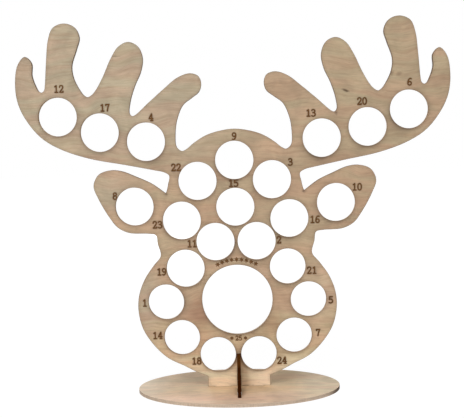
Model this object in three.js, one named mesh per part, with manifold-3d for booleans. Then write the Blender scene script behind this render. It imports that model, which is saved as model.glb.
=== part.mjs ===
// A wooden advent calendar for chocolates, shaped as a reindeer's head.
// Three flat pieces of plywood slot together: the head panel drops over a cross brace,
// and both stand in an oval base. Lengths are in millimetres and +Z is up.
// The front faces -Y, and the origin is the middle of the base's underside.

import * as THREE from 'three';
import { mergeVertices } from 'three/addons/utils/BufferGeometryUtils.js';
import Module from 'manifold-3d';

const wasm = await Module();
wasm.setup();

// Sheet that all the pieces are cut from
const plyThickness = 3;

// Holes that hold the wrapped chocolates, and the wood left between them
const wideHoleDiameter = 33.3;
const narrowHoleDiameter = 31.4;
const treatHoleDiameter = 62.2;
const holeWeb = 3.2;
const chinWeb = 4.8;

// Neck of the head panel
const neckWidth = 55.4;
const neckTabShoulder = 6;

// Cross brace, half an oval
const braceLength = 66;
const braceHeight = 29;
const braceTabShoulder = 8;
const lapShare = 0.5;

// Oval base
const baseWidth = 178.5;
const baseDepth = 95;

// Fits
const sideClearance = 0.15;
const lapClearance = 0.3;
const tabRecess = 0.3;

// Construction: how far a cut runs past a face, and how finely a curve is divided
const overrun = 1;
const stepsPerSpan = 3;
const roundSteps = 16;
const baseSteps = 36;

// The head is drawn around its holes, so it is laid out in pitches:
// one pitch is a wide hole with the wood between it and the next
const pitch = wideHoleDiameter + holeWeb;

// Slots that take one thickness of the sheet, and the height where the two lapped slots meet
const slotWidth = plyThickness + 2 * sideClearance;
const lapHeight = braceHeight * lapShare;
const tabDepth = plyThickness - tabRecess;

// Right half of the head, from the top of the crown round to the neck.
// Each point is its distance from the middle line and its height above the base, in pitches.
const crownShares = [
  [0, 6.24], [0.33, 6.2], [0.66, 6.1], [0.96, 5.92], [1.12, 5.79],
];
const innerTineShares = [
  [1.24, 5.74], [1.36, 5.84], [1.38, 6.14], [1.33, 6.48], [1.18, 6.82], [0.96, 6.99], [0.79, 7.13],
  [0.74, 7.32], [0.8, 7.49], [1, 7.56], [1.29, 7.47], [1.64, 7.2], [1.97, 6.92],
];
const middleTineShares = [
  [2.38, 6.59], [2.45, 6.65], [2.43, 6.9], [2.31, 7.28], [2.15, 7.63], [2.1, 7.95],
  [2.21, 8.22], [2.44, 8.32], [2.67, 8.21], [2.85, 7.95], [3.06, 7.51], [3.23, 7.22], [3.34, 7.1],
];
const tallTineShares = [
  [3.43, 7.06], [3.51, 7.1], [3.59, 7.2], [3.74, 7.51], [3.77, 7.8], [3.64, 8.19], [3.57, 8.45],
  [3.68, 8.69], [3.93, 8.78], [4.19, 8.68], [4.31, 8.4], [4.37, 7.95],
];
const outerTineShares = [
  [4.43, 7.33], [4.45, 7.24], [4.51, 7.19], [4.58, 7.22], [4.63, 7.31], [4.72, 7.58], [4.72, 7.88],
  [4.87, 8.03], [5.05, 7.84], [5.13, 7.34], [5.07, 6.9], [4.87, 6.49],
];
const antlerUndersideShares = [
  [4.55, 6.11], [4.11, 5.84], [3.45, 5.61], [2.6, 5.44], [1.92, 5.3], [1.67, 5.24],
];
const earShares = [
  [1.56, 5.16], [1.59, 4.96], [1.64, 4.77], [1.66, 4.75], [1.69, 4.77], [1.98, 4.98], [2.36, 5.16],
  [2.68, 5.29], [2.96, 5.32], [3.24, 5.22], [3.37, 4.96], [3.27, 4.65], [3.01, 4.18], [2.82, 3.94],
  [2.55, 3.81], [2.08, 3.78],
];
const cheekShares = [
  [1.92, 3.74], [1.88, 3.53], [1.82, 3.24], [2.01, 2.99], [2.21, 2.7], [2.36, 2.33],
  [2.4, 1.95], [2.31, 1.49], [2.09, 1.11], [1.73, 0.74], [1.31, 0.52],
];
const chinShares = [
  [1.06, 0.385], [neckWidth / 2 / pitch, 0.26],
];
const headShares = [
  ...crownShares, ...innerTineShares, ...middleTineShares, ...tallTineShares, ...outerTineShares,
  ...antlerUndersideShares, ...earShares, ...cheekShares, ...chinShares,
];

// Centres of the mirrored pairs of holes, from the antlers down to the cheeks
const widePairShares = [
  [4.16, 6.61], [3.18, 6.22], [2.09, 5.98], [0.89, 5.02], [2.41, 4.44], [1.29, 4.08], [0.495, 3.55],
];
const narrowPairShares = [
  [1.72, 2.11], [1.36, 1.23],
];

// One pair is wide on the left and narrow on the right
const unevenPairShares = [1.23, 2.92];

// Heights of the chin's pair, of the two wide holes on the middle line and of the large hole
const chinPairShare = 0.79;
const middleHoleShares = [5.5, 4.38];
const treatHoleShare = 2.13;

// A solid that can be joined and cut, made from a closed three.js geometry
function solidFrom(geometry) {
  geometry.deleteAttribute('normal');
  geometry.deleteAttribute('uv');
  const merged = mergeVertices(geometry);
  return new wasm.Manifold(new wasm.Mesh({
    numProp: 3,
    vertProperties: new Float32Array(merged.attributes.position.array),
    triVerts: new Uint32Array(merged.index.array),
  }));
}

// The three.js geometry of a finished solid
function geometryFrom(solid) {
  const mesh = solid.getMesh();
  const geometry = new THREE.BufferGeometry();
  geometry.setAttribute('position', new THREE.BufferAttribute(mesh.vertProperties, 3));
  geometry.setIndex(new THREE.BufferAttribute(mesh.triVerts, 1));
  geometry.computeVertexNormals();
  return geometry;
}

// A flat plate of one outline, lying on either side of its own plane
function plate(shape, thickness = plyThickness, curveSegments = roundSteps) {
  const geometry = new THREE.ExtrudeGeometry(shape, {
    depth: thickness,
    bevelEnabled: false,
    curveSegments,
  });
  geometry.translate(0, 0, -thickness / 2);
  return solidFrom(geometry);
}

// A cutter goes right through a plate and past both its faces
function cutter(shape) {
  return plate(shape, plyThickness + 2 * overrun);
}

function rectangle(left, right, bottom, top) {
  const shape = new THREE.Shape();
  shape.moveTo(left, bottom);
  shape.lineTo(right, bottom);
  shape.lineTo(right, top);
  shape.lineTo(left, top);
  shape.closePath();
  return shape;
}

function circle(x, height, diameter) {
  const shape = new THREE.Shape();
  shape.absarc(x, height, diameter / 2, 0, 2 * Math.PI);
  return shape;
}

// The two tabs at the foot of an upright piece lie between its middle slot and its ends
function tabSpan(footLength, shoulder) {
  return {
    inner: slotWidth / 2 + shoulder,
    outer: footLength / 2 - shoulder,
  };
}

const neckTabs = tabSpan(neckWidth, neckTabShoulder);
const braceTabs = tabSpan(braceLength, braceTabShoulder);

function addTabs(solid, { inner, outer }) {
  const right = plate(rectangle(inner, outer, -tabDepth, overrun));
  const left = plate(rectangle(-outer, -inner, -tabDepth, overrun));
  return solid.add(right).add(left);
}

// The whole head as one smooth line through both halves, closed across the chin
function headShape() {
  const right = headShares.map(([x, height]) => new THREE.Vector3(x * pitch, height * pitch, 0));
  const left = right.slice(1).reverse().map(({ x, y }) => new THREE.Vector3(-x, y, 0));
  const points = [...left, ...right];
  const line = new THREE.CatmullRomCurve3(points, false, 'centripetal');
  const smooth = line.getPoints((points.length - 1) * stepsPerSpan);
  return new THREE.Shape(smooth.map(({ x, y }) => new THREE.Vector2(x, y)));
}

// Every hole in the head panel
function holeShapes() {
  const [unevenX, unevenHeight] = unevenPairShares;
  const chinX = (narrowHoleDiameter + chinWeb) / 2;
  const holes = [
    circle(0, treatHoleShare * pitch, treatHoleDiameter),
    circle(-unevenX * pitch, unevenHeight * pitch, wideHoleDiameter),
    circle(unevenX * pitch, unevenHeight * pitch, narrowHoleDiameter),
  ];
  for (const height of middleHoleShares) {
    holes.push(circle(0, height * pitch, wideHoleDiameter));
  }
  for (const side of [-1, 1]) {
    for (const [x, height] of widePairShares) {
      holes.push(circle(side * x * pitch, height * pitch, wideHoleDiameter));
    }
    for (const [x, height] of narrowPairShares) {
      holes.push(circle(side * x * pitch, height * pitch, narrowHoleDiameter));
    }
    holes.push(circle(side * chinX, chinPairShare * pitch, narrowHoleDiameter));
  }
  return holes;
}

// Head panel: the head on its neck, with the holes, the foot tabs and the slot for the brace
function headPanel() {
  const [, chinHeight] = chinShares.at(-1);
  const neckTop = chinHeight * pitch + overrun;
  const neck = plate(rectangle(-neckWidth / 2, neckWidth / 2, 0, neckTop));
  const slot = rectangle(-slotWidth / 2, slotWidth / 2, -overrun, lapHeight + lapClearance);
  let panel = addTabs(plate(headShape()).add(neck), neckTabs);
  for (const cut of [slot, ...holeShapes()]) {
    panel = panel.subtract(cutter(cut));
  }
  return geometryFrom(panel);
}

// Cross brace: half an oval with foot tabs and a notch from the top that takes the panel
function crossBrace() {
  const dome = new THREE.Shape();
  dome.absellipse(0, 0, braceLength / 2, braceHeight, 0, Math.PI);
  const notch = rectangle(-slotWidth / 2, slotWidth / 2, lapHeight, braceHeight + overrun);
  return geometryFrom(addTabs(plate(dome), braceTabs).subtract(cutter(notch)));
}

// Oval base with a slot for each foot tab, laid out as a cross
function ovalBase() {
  const oval = new THREE.Shape();
  oval.absellipse(0, 0, baseWidth / 2, baseDepth / 2, 0, 2 * Math.PI);
  let base = plate(oval, plyThickness, baseSteps);
  for (const side of [-1, 1]) {
    const [neckNear, neckFar] = slotEnds(neckTabs, side);
    const [braceNear, braceFar] = slotEnds(braceTabs, side);
    base = base.subtract(cutter(rectangle(neckNear, neckFar, -slotWidth / 2, slotWidth / 2)));
    base = base.subtract(cutter(rectangle(-slotWidth / 2, slotWidth / 2, braceNear, braceFar)));
  }
  return geometryFrom(base);
}

// The two ends of a base slot, in rising order, on one side of the middle
function slotEnds({ inner, outer }, side) {
  const ends = [side * (inner - sideClearance), side * (outer + sideClearance)];
  return ends.sort((a, b) => a - b);
}

// A named piece in its own wood colour
function piece(name, geometry, color) {
  const material = new THREE.MeshStandardMaterial({ color, roughness: 0.75, metalness: 0 });
  const mesh = new THREE.Mesh(geometry, material);
  mesh.name = name;
  return mesh;
}

// The base lies flat. The panel and the brace stand on it, turned up out of their own planes,
// and the brace is turned a quarter further, across the panel.
const base = piece('oval_base', ovalBase(), 0xcfb497);
base.position.z = plyThickness / 2;

const head = piece('head_panel', headPanel(), 0xbea587);
const brace = piece('cross_brace', crossBrace(), 0xa9845c);
brace.rotation.y = Math.PI / 2;

const uprights = new THREE.Group();
uprights.rotation.x = Math.PI / 2;
uprights.position.z = plyThickness;
uprights.add(head, brace);

const calendar = new THREE.Group();
calendar.add(base, uprights);

export default calendar;
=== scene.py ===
"""Wooden advent calendar: the looks of its three plywood pieces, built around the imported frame.

Run as a script. It loads the frame, makes each piece with an operator, and adds a plain studio.
Sizes are in metres, in the same frame as the CAD model.
"""

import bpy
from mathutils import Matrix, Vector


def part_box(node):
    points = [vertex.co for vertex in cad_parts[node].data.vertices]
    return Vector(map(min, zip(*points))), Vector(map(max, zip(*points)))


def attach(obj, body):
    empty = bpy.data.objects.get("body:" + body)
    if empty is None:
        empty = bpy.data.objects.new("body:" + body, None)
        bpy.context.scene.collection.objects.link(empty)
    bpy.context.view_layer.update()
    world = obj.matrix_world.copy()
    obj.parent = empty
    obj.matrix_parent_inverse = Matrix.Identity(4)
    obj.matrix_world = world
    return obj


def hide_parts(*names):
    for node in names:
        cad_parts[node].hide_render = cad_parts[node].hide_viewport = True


bl_info = {
    "name": "Plywood Advent Calendar",
    "version": (1, 0, 0),
    "blender": (4, 5, 0),
    "location": "View3D > Sidebar > Calendar",
    "description": "Builds the three plywood pieces of a flat-packed advent calendar",
    "category": "Object",
}

import math

import bpy
from bpy.props import FloatProperty, FloatVectorProperty, IntProperty, PointerProperty
from mathutils import Matrix, Vector
from mathutils.geometry import delaunay_2d_cdt
from mathutils.kdtree import KDTree

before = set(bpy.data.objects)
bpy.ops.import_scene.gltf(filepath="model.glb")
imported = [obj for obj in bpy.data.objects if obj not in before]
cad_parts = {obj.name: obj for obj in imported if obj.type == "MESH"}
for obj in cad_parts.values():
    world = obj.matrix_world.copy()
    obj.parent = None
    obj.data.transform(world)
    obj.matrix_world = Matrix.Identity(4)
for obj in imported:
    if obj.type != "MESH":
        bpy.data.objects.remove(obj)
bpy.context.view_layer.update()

MM = 0.001

HEAD_LOW, HEAD_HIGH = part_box("head_panel")
BRACE_LOW, BRACE_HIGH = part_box("cross_brace")
BASE_LOW, BASE_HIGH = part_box("oval_base")


# Settings that a user would change


def length(name, description, millimetres, low=0.0):
    """A length property, given in millimetres and kept in metres."""
    return FloatProperty(
        name=name, description=description, default=millimetres * MM,
        min=low * MM, subtype="DISTANCE", unit="LENGTH", precision=5,
    )


def paint(name, description, red, green, blue):
    """A colour property, given as it looks on a screen, from 0 to 255."""
    return FloatVectorProperty(
        name=name, description=description, subtype="COLOR", size=3, min=0.0, max=1.0,
        default=[to_linear(v / 255) for v in (red, green, blue)],
    )


def tilt(name, description, degrees):
    """An angle property, given in degrees and kept in radians."""
    return FloatProperty(
        name=name, description=description, default=math.radians(degrees),
        subtype="ANGLE", unit="ROTATION",
    )


def power(name, description, watts):
    """A lamp's power in watts."""
    return FloatProperty(name=name, description=description, default=watts, min=0, unit="POWER")


def count(name, description, default, low):
    """A whole number."""
    return IntProperty(name=name, description=description, default=default, min=low)


def to_linear(value):
    return value / 12.92 if value <= 0.04045 else ((value + 0.055) / 1.055) ** 2.4


class CalendarSheetSettings(bpy.types.PropertyGroup):
    """The plywood sheet and how the laser leaves it"""

    corner: length("Edge rounding", "Width of the worn corner along every cut", 0.1)
    wide_slot: length("Slot width", "Width of the slots that take one sheet", 3.3)
    tab_depth: length("Tab depth", "How far a foot tab goes down into the base", 2.7)
    streak: paint("Streaks", "Colour of the darker grain lines", 146, 114, 84)
    # The soot colour also paints the shadow on one side of each of the head's holes
    soot: paint("Soot", "Colour of the smoke stain beside a cut", 66, 42, 24)
    rim: paint("Burnt rim", "Colour of the thin line burnt along a cut", 84, 66, 50)
    char: paint("Charred edge", "Colour of an edge burnt by the laser", 70, 46, 27)
    # The colour of the dark band on the web over the brace, and of its runs down the rims
    scorched: paint("Scorched web", "Colour of the web that is burnt through", 62, 32, 17)
    toasted: paint("Toasted edge", "Colour of a lightly burnt edge", 146, 114, 82)
    hole_wall: paint("Hole wall", "Colour of the walls of the round holes", 184, 152, 118)


class CalendarHeadSettings(bpy.types.PropertyGroup):
    """The head panel, its holes and its numbers"""

    wide_hole: length("Wide hole", "Diameter of the wide holes", 33.3)
    narrow_hole: length("Narrow hole", "Diameter of the narrow holes", 31.4)
    treat_hole: length("Large hole", "Diameter of the large hole", 62.2)
    hole_web: length("Wood between holes", "Wood between two wide holes, which sets the pitch", 3.2)
    chin_web: length("Wood at the chin", "Wood between the two holes of the chin", 4.8)
    neck_width: length("Neck width", "Width of the neck", 55.4)
    neck_shoulder: length("Neck shoulder", "Neck left beside each foot tab", 6)
    slot_height: length("Slot height", "Height of the slot that takes the brace", 14.8)
    steps: count("Outline steps", "Pieces that each span of the outline is cut into", 9, 3)
    digit_height: length("Number height", "Height of the numbers", 6.5)
    small_digit_height: length("Small number height", "Height of the number below the large hole", 4.4)
    star_size: length("Star size", "Diameter of the small stars round the large hole", 4.2)
    stroke: length("Stroke width", "Width of an engraved line", 1.2)
    engraving_depth: length("Engraving depth", "How deep the numbers are burnt in", 0.25)
    ink: paint("Engraving", "Colour of the burnt floor of a number", 102, 71, 43)
    neck_wood: paint("Neck", "Colour of the wood at the neck", 226, 205, 175)
    jaw_wood: paint("Jaw", "Colour of the wood at the jaw", 206, 177, 142)
    face_wood: paint("Face", "Colour of the wood of the face", 188, 160, 131)
    left_antler: paint("Left antler", "Colour of the wood at the left antler", 187, 167, 142)
    right_antler: paint("Right antler", "Colour of the wood at the right antler", 188, 163, 134)


class CalendarBraceSettings(bpy.types.PropertyGroup):
    """The cross brace"""

    shoulder: length("Brace shoulder", "Foot of the brace left beside each tab", 8)
    top: length("Brace top", "Height of the brace's arc over the base", 29)
    notch_floor: length("Notch floor", "Height of the notch's floor over the base", 14.5)
    steps: count("Arc steps", "Pieces that the brace's arc is cut into", 96, 12)
    char: paint("Brace edge", "Colour of the brace's deeply burnt edge", 54, 23, 4)
    top_edge: paint("Brace top edge", "Colour of the brace's edge near its top", 90, 52, 18)
    wood: paint("Brace wood", "Colour of the brace's faces", 214, 188, 158)


class CalendarBaseSettings(bpy.types.PropertyGroup):
    """The oval base"""

    clearance: length("Slot clearance", "Play at each end of a base slot", 0.15)
    steps: count("Oval steps", "Pieces that the oval is cut into", 240, 24)
    front_wood: paint("Front", "Colour of the base's pinkish front", 241, 207, 180)
    back_wood: paint("Back", "Colour of the base's greenish back", 222, 194, 158)
    end_wood: paint("Ends", "Colour of the base's pale ends", 236, 214, 185)
    edge: paint("Base edge", "Colour of the base's lightly toasted edge", 206, 184, 162)


class CalendarStudioSettings(bpy.types.PropertyGroup):
    """Floor, lights and camera"""

    lens: FloatProperty(
        name="Lens", description="Focal length of the camera", default=55.32, min=1,
        subtype="DISTANCE_CAMERA",
    )
    distance: length("Camera distance", "How far the camera stands in front of the panel", 621.5)
    height: length("Camera height", "Height of the camera over the table", 212.4)
    yaw: tilt("Yaw", "Turn of the camera to the right", -0.27)
    pitch: tilt("Pitch", "Tilt of the camera down", 4.73)
    roll: tilt("Roll", "Roll of the camera", 1.333)
    key_power: power("Key light", "Power of the large soft lamp above the front", 17.0)
    low_power: power("Low light", "Power of the small lamp low in front", 0.55)
    back_power: power("Back light", "Power of the soft lamp behind", 4.0)
    sky: FloatProperty(
        name="Room light", description="Strength of the light from all round", default=0.2, min=0,
    )
    floor: paint("Floor", "Colour of the pale floor", 225, 225, 225)


# Layout of the head, in pitches from the middle of the base's top: one pitch is a wide hole and the
# wood to the next

# Right half of the outline, from the top of the crown round to the neck
HEAD_SHARES = [
    # The crown
    (0, 6.24), (0.33, 6.2), (0.66, 6.1), (0.96, 5.92), (1.12, 5.79),
    # The inner tine
    (1.24, 5.74), (1.36, 5.84), (1.38, 6.14), (1.33, 6.48), (1.18, 6.82), (0.96, 6.99), (0.79, 7.13),
    (0.74, 7.32), (0.8, 7.49), (1, 7.56), (1.29, 7.47), (1.64, 7.2), (1.97, 6.92),
    # The middle tine
    (2.38, 6.59), (2.45, 6.65), (2.43, 6.9), (2.31, 7.28), (2.15, 7.63), (2.1, 7.95),
    (2.21, 8.22), (2.44, 8.32), (2.67, 8.21), (2.85, 7.95), (3.06, 7.51), (3.23, 7.22), (3.34, 7.1),
    # The tall tine
    (3.43, 7.06), (3.51, 7.1), (3.59, 7.2), (3.74, 7.51), (3.77, 7.8), (3.64, 8.19), (3.57, 8.45),
    (3.68, 8.69), (3.93, 8.78), (4.19, 8.68), (4.31, 8.4), (4.37, 7.95),
    # The outer tine
    (4.43, 7.33), (4.45, 7.24), (4.51, 7.19), (4.58, 7.22), (4.63, 7.31), (4.72, 7.58), (4.72, 7.88),
    (4.87, 8.03), (5.05, 7.84), (5.13, 7.34), (5.07, 6.9), (4.87, 6.49),
    # The underside of the antler
    (4.55, 6.11), (4.11, 5.84), (3.45, 5.61), (2.6, 5.44), (1.92, 5.3), (1.67, 5.24),
    # The ear
    (1.56, 5.16), (1.59, 4.96), (1.64, 4.77), (1.66, 4.75), (1.69, 4.77), (1.98, 4.98), (2.36, 5.16),
    (2.68, 5.29), (2.96, 5.32), (3.24, 5.22), (3.37, 4.96), (3.27, 4.65), (3.01, 4.18), (2.82, 3.94),
    (2.55, 3.81), (2.08, 3.78),
    # The cheek
    (1.92, 3.74), (1.88, 3.53), (1.82, 3.24), (2.01, 2.99), (2.21, 2.7), (2.36, 2.33),
    (2.4, 1.95), (2.31, 1.49), (2.09, 1.11), (1.73, 0.74), (1.31, 0.52), (1.06, 0.385),
]
NECK_TOP_SHARE = 0.26

# Holes in pairs: middle of the one on the right, and the numbers of the left and the right one. In the
# uneven pair, the left hole is wide and the right one narrow
WIDE_PAIRS = [
    ((4.16, 6.61), 12, 6), ((3.18, 6.22), 17, 20), ((2.09, 5.98), 4, 13), ((0.89, 5.02), 22, 3),
    ((2.41, 4.44), 8, 10), ((1.29, 4.08), 23, 16), ((0.495, 3.55), 11, 2),
]
NARROW_PAIRS = [((1.72, 2.11), 1, 5), ((1.36, 1.23), 14, 7)]
UNEVEN_PAIR = ((1.23, 2.92), 19, 21)
MIDDLE_HOLES = [((0, 5.5), 9), ((0, 4.38), 15)]
CHIN_NUMBERS = (18, 24)
CHIN_HEIGHT_SHARE = 0.79
TREAT_HEIGHT_SHARE = 2.13

# Middle of each number from the middle of its hole
NUMBER_SHARES = {
    1: (-0.524, -0.012), 2: (0.533, 0.013), 3: (0.442, 0.401), 4: (0.141, 0.571), 5: (0.536, -0.033),
    6: (0.007, 0.629), 7: (0.578, 0.049), 8: (-0.457, 0.262), 9: (0.012, 0.563), 10: (0.501, 0.353),
    11: (-0.565, -0.033), 12: (0.056, 0.655), 13: (-0.255, 0.586), 14: (-0.596, 0.062),
    15: (-0.032, 0.568), 16: (0.606, -0.044), 17: (0.15, 0.58), 18: (-0.53, -0.151),
    19: (-0.578, -0.068), 20: (-0.134, 0.596), 21: (0.575, -0.111), 22: (-0.5, 0.334),
    23: (-0.586, -0.088), 24: (0.552, -0.179),
}
TREAT_NUMBER = 25
TREAT_NUMBER_SHARE = (0.01, -0.944)
STAR_COUNT = 9
STAR_RING_SHARE = 0.982
STAR_ARC = (math.radians(117.7), math.radians(62.1))
STAR_STROKE_SHARE = 0.8
SIDE_STAR_SHARE = 0.165
SIDE_STAR_SIZE_SHARE = 0.8

# Where the painted shadow lies beside each hole: its direction in degrees, and its strength
HOLE_SHADOWS = {
    1: (345, 0.6), 2: (255, 0.7), 3: (240, 0.6), 4: (285, 0.75), 5: (225, 0.35), 6: (240, 0.8),
    7: (225, 0.12), 8: (300, 0.35), 9: (255, 0.8), 10: (245, 0.65), 11: (315, 0.85), 12: (300, 0.45),
    13: (255, 0.8), 14: (300, 0.12), 15: (270, 0.55), 16: (235, 0.75), 17: (300, 0.55), 18: (335, 0.75),
    19: (300, 0.35), 20: (255, 0.8), 21: (270, 0.55), 22: (290, 0.6), 23: (250, 0.6), 24: (205, 0.7),
    TREAT_NUMBER: (270, 0.6),
}

# How far the smoke and the painted shadow spread from a hole and the smoke from a number, how much of the
# wood the smoke covers round a number and on every side of a hole, how much both cover at most, and how
# fast the smoke falls off from a number and the painted shadow beside its direction
SMOKE_AND_SHADOW_WIDTH = 2 * MM
HALO = 0.75 * MM
NUMBER_SMOKE = 0.42
HOLE_SMOKE = 0.14
MOST_SMOKE_AND_SHADOW = 0.88
NUMBER_FALL = 1.5
SIDE_FALL = 1.4

# The smoke on the brace and the base, as strength and width, and the share of the way out to the
# oval's edge from which the base stays clean
BRACE_SOOT = (0.5, 1.6 * MM)
BASE_SOOT = (0.22, 1.5 * MM)
CLEAN_SHARE = 0.9

# Burns at the inner ends of notches: middle in pitches, width, and strength
NOTCH_BURNS = [
    ((-1.64, 4.72), 1.3 * MM, 0.8), ((1.64, 4.72), 1.3 * MM, 0.8), ((2.43, 6.57), 1 * MM, 0.75),
    ((3.75, 7.45), 1.1 * MM, 0.6),
]

# The dark band on the web over the brace: its height and strength, and where it fades, up and down and
# sideways
WEB_DARK_HEIGHT = 27.55 * MM
WEB_DARK_STRENGTH = 0.95
WEB_DARK_FADE = (1.5 * MM, 2.3 * MM)
WEB_DARK_SIDES = (3 * MM, 5 * MM)

# The darkening that runs down both rims from it: how far below its middle that starts, its strength, how
# far it reaches in from a rim and down, and where it fades sideways
RUN_DROP = 1.7 * MM
RUN_STRENGTH = 0.8
RUN_WIDTH = 0.9 * MM
RUN_LENGTH = 3 * MM
RUN_SIDES = (8 * MM, 12 * MM)

# The grid of points that carries the dark band, and how far they stay from the holes
WEB_DARK_GRID = 0.55 * MM
WEB_DARK_ROWS = range(-14, 8)
WEB_DARK_COLUMNS = range(-8, 9)
WEB_DARK_MARGIN = 0.5 * MM

# Knots of the head's veneer, in millimetres in the frame: middle, half length and half height, slope,
# and depth
KNOTS = [
    ((97.5, 261.1), (4.6, 1.7), -0.3, 0.95), ((143.1, 274.5), (3.6, 2.6), 0.2, 0.4),
    ((-100.6, 294.9), (5.5, 0.8), 0.0, 0.55),
]

# Its broad darker and paler places, in millimetres: middle, half length and half height, and tint
DARK_TINT = (0.83, 0.82, 0.81)
RUDDY_TINT = (0.83, 0.73, 0.71)
PALE_TINT = (1.22, 1.21, 1.26)
GREYER_TINT = (0.97, 1.05, 1.14)
CLOUDS = [
    ((44, 261), (27, 18), DARK_TINT), ((84, 206), (40, 17), DARK_TINT), ((-60, 204), (27, 16), DARK_TINT),
    ((124, 244), (15, 9), PALE_TINT), ((-106, 176), (36, 22), GREYER_TINT),
    ((-33, 66), (21, 40), RUDDY_TINT), ((30, 58), (16, 16), RUDDY_TINT), ((22, 103), (13, 11), PALE_TINT),
    ((72, 80), (31, 54), PALE_TINT), ((-80, 80), (22, 54), GREYER_TINT),
    ((-57, 29), (17, 12), PALE_TINT), ((25, 6), (19, 22), PALE_TINT),
]

# How far the rims of both wander in and out, as a share of their size
RAGGED_RIM = 0.9

# Where the head's colours run into each other, up and across, and how far they follow the bands
NECK_TO_JAW = (12 * MM, 30 * MM)
JAW_TO_FACE = (40 * MM, 75 * MM)
FACE_TO_ANTLERS = (165 * MM, 245 * MM)
LEFT_TO_RIGHT = (-50 * MM, 30 * MM)
HEAD_DRIFT = 14 * MM

# The same for the base, whose pale ends lie round a middle that is further left
FRONT_TO_BACK = (-34 * MM, -10 * MM)
MIDDLE_TO_ENDS = (48 * MM, 78 * MM)
MIDDLE_SHIFT = 8 * MM
BASE_DRIFT = 12 * MM

# Tints of the veneer's bands, and how strongly its darker lines and pores show
WARM_TINT = (1.0, 0.94, 0.93)
COOL_TINT = (0.925, 0.985, 0.96)
STREAK_STRENGTH = 0.27
PORE_STRENGTH = 0.4

# How far along and across the grain the back's veneer was cut from the front's
BACK_SHIFT = (1.3, 0.9)

# The burnt line along a cut, and the toasted wood beside it: where that ends, where it is full, and
# how strong it is there
RIM_WIDTH = 0.9 * MM
RIM_STRENGTH = 0.55
TOAST_WIDTHS = (2.8 * MM, 1.2 * MM)
TOAST_STRENGTH = 0.1

# Where a light edge turns dark: the axis, and the places where that starts and ends
BASE_TIP = (0, 74 * MM, 88 * MM)
BRACE_TURN = (2, 28 * MM, 24 * MM)

# The width of the camera's sensor in millimetres, and how near and far it sees
SENSOR_WIDTH = 36.0
SIGHT = (0.01, 50)

# Each lamp's place, aim and size
LAMPS = {
    "key": ((-0.107, -1.023, 1.326), (0, 0, 0.1), 1.4),
    "low": ((-0.11, -0.47, 0.085), (0, 0, 0.06), 0.08),
    "back": ((-0.3, 1.2, 0.12), (0, 0, 0.15), 0.2),
}

# The floor's corners, reach and depth below the base, how much shade shows on it, and its glow: the
# distances between which it grows, and how strong it is there
FLOOR_STEPS = 96
FLOOR_REACH = 6.0
FLOOR_DROP = 0.02 * MM
FLOOR_SHADE = 0.14
GLOW_PLACES = (0.15, 0.7)
GLOW_STRENGTHS = (0.95, 1.0)

# How finely the round holes and the strokes are cut
HOLE_STEPS = 96
TREAT_STEPS = 168
STROKE_STEPS = 4
CAP_STEPS = 4
INK_STEP = 0.3 * MM

# The points round the numbers: their least step, how many of the last ones are looked at for that,
# and how far they stay from the holes
HALO_STEP = 0.5 * MM
HALO_MEMORY = 80
HALO_MARGIN = 0.4 * MM


# Digits, each drawn with one or more strokes in a box one unit high

DIGIT_WIDTH_SHARE = 0.62
DIGIT_PITCH_SHARE = 0.69

# A stroke of two points is straight, and one of more is curved
SIX = [
    [(0.53, 0.9), (0.4, 0.94), (0.26, 0.86), (0.14, 0.64), (0.1, 0.4), (0.14, 0.17), (0.31, 0.07)],
    [(0.31, 0.07), (0.47, 0.13), (0.54, 0.3), (0.48, 0.47), (0.33, 0.55), (0.18, 0.47), (0.1, 0.32)],
]
DIGITS = {
    "0": [
        [(0.31, 0.94), (0.16, 0.85), (0.08, 0.5), (0.16, 0.15), (0.31, 0.07)],
        [(0.31, 0.07), (0.46, 0.15), (0.54, 0.5), (0.46, 0.85), (0.31, 0.94)],
    ],
    "1": [[(0.17, 0.8), (0.34, 0.93)], [(0.34, 0.93), (0.34, 0.07)], [(0.16, 0.07), (0.52, 0.07)]],
    "2": [
        [
            (0.1, 0.72), (0.14, 0.88), (0.31, 0.94), (0.48, 0.87), (0.52, 0.7), (0.44, 0.52),
            (0.26, 0.28), (0.1, 0.07),
        ],
        [(0.1, 0.07), (0.54, 0.07)], [(0.54, 0.07), (0.54, 0.19)],
    ],
    "3": [
        [(0.1, 0.84), (0.2, 0.92), (0.34, 0.93), (0.48, 0.84), (0.48, 0.66), (0.38, 0.55), (0.24, 0.53)],
        [(0.24, 0.53), (0.42, 0.5), (0.53, 0.38), (0.53, 0.21), (0.42, 0.1), (0.27, 0.06), (0.08, 0.13)],
    ],
    "4": [
        [(0.4, 0.94), (0.08, 0.33)], [(0.08, 0.33), (0.56, 0.33)],
        [(0.42, 0.94), (0.42, 0.07)], [(0.28, 0.07), (0.55, 0.07)],
    ],
    "5": [
        [(0.5, 0.93), (0.14, 0.93)], [(0.14, 0.93), (0.12, 0.54)],
        [(0.12, 0.54), (0.28, 0.6), (0.46, 0.53), (0.54, 0.34), (0.46, 0.14), (0.28, 0.06), (0.08, 0.12)],
    ],
    "6": SIX,
    "7": [
        [(0.09, 0.8), (0.09, 0.93)], [(0.09, 0.93), (0.53, 0.93)], [(0.53, 0.93), (0.38, 0.55), (0.28, 0.07)],
    ],
    "8": [
        [(0.31, 0.94), (0.17, 0.88), (0.12, 0.74), (0.18, 0.6), (0.31, 0.54)],
        [(0.31, 0.54), (0.44, 0.6), (0.5, 0.74), (0.45, 0.88), (0.31, 0.94)],
        [(0.31, 0.54), (0.14, 0.46), (0.08, 0.3), (0.14, 0.13), (0.31, 0.06)],
        [(0.31, 0.06), (0.48, 0.13), (0.54, 0.3), (0.48, 0.46), (0.31, 0.54)],
    ],
    "9": [[(DIGIT_WIDTH_SHARE - x, 1 - y) for x, y in stroke] for stroke in SIX],
}


# Plane drawing

# The shortest length that counts, and the least number that a mitre is divided by, which keeps it short
TINY = 1e-6
MITRE_LIMIT = 0.5


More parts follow.
